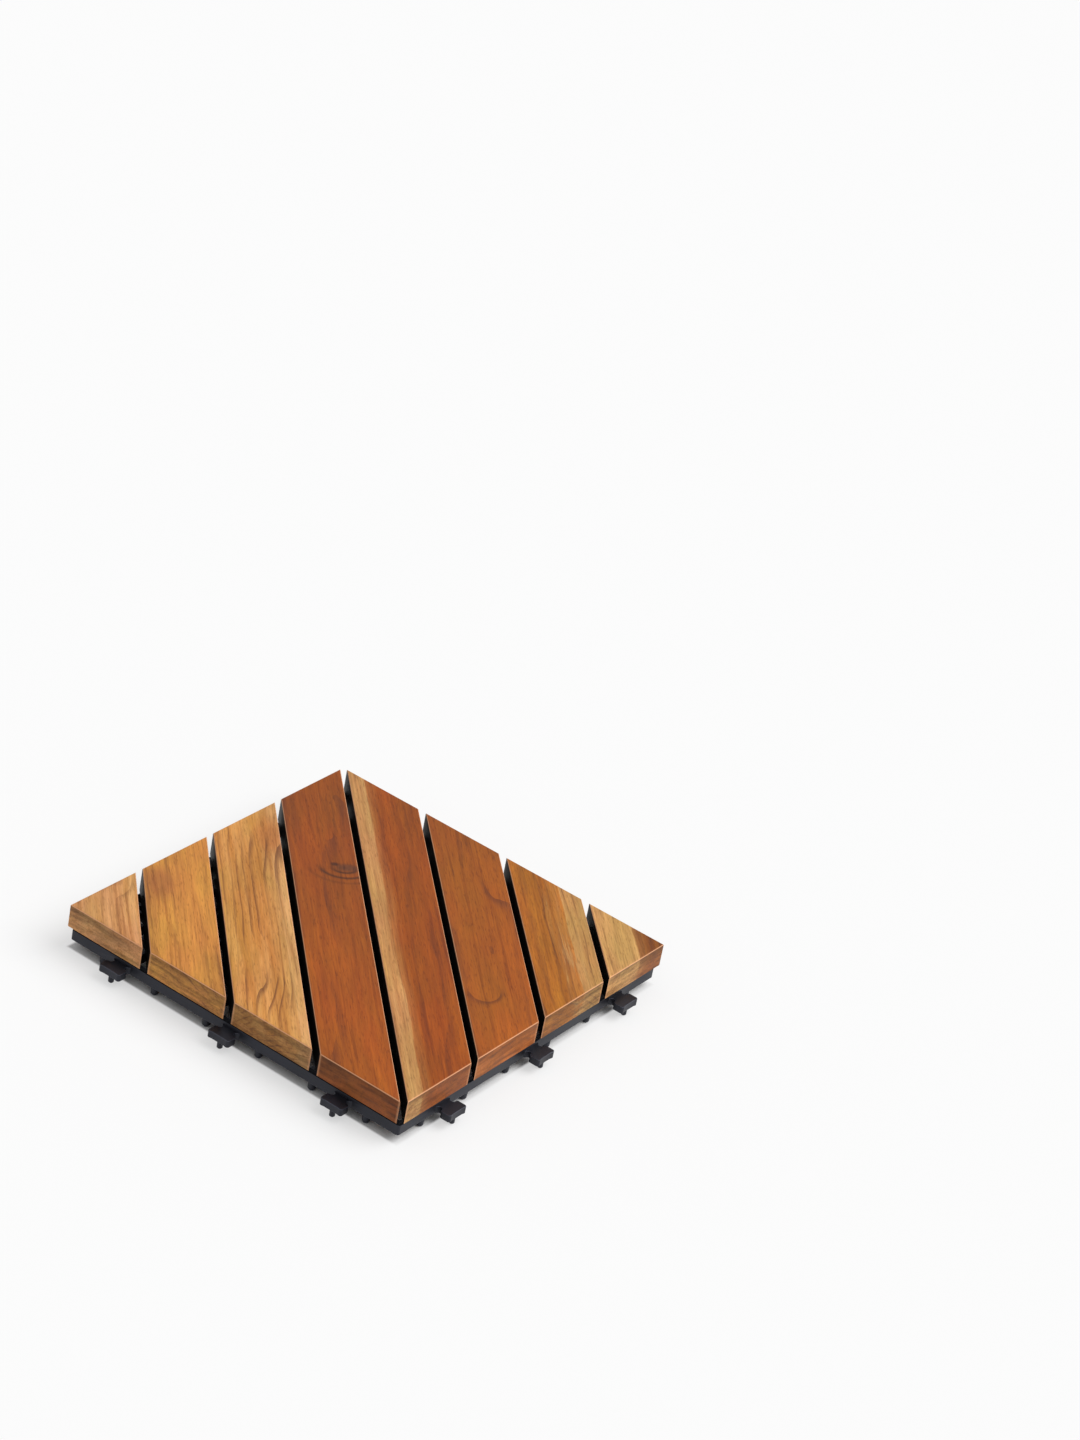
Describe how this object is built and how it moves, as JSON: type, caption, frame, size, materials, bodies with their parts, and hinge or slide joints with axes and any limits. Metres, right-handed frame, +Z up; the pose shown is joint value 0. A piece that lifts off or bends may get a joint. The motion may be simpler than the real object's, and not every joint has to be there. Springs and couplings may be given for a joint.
{
  "type": "interlocking deck tile",
  "caption": "Square outdoor floor tile: diagonal wooden slats screwed to a moulded grid with feet, interlocking tabs and matching sockets.",
  "frame": {"origin": "centre of the square of wood, at the level of the ground that the feet stand on", "axes": "+Z up; the tabs are on the edges that face -Y and +X, the sockets on the edges that face +Y and -X; the slats run along the diagonal from +X -Y to -X +Y"},
  "size_m": [0.3115, 0.3115, 0.035],
  "materials": {
    "wood_honey": "oiled",
    "wood_red": "oiled",
    "wood_pale": "oiled",
    "grid_plastic": "moulded satin",
    "screw_steel": "zinc plated"
  },
  "bodies": {
    "root": {"slat_1": "wood_honey", "slat_2": "wood_honey", "slat_3": "wood_honey", "slat_4": "wood_red", "slat_5": "wood_red", "slat_6": "wood_red", "slat_7": "wood_pale", "slat_8": "wood_pale", "base_grid": "grid_plastic", "slat_screws": "screw_steel"}
  },
  "joints": []
}
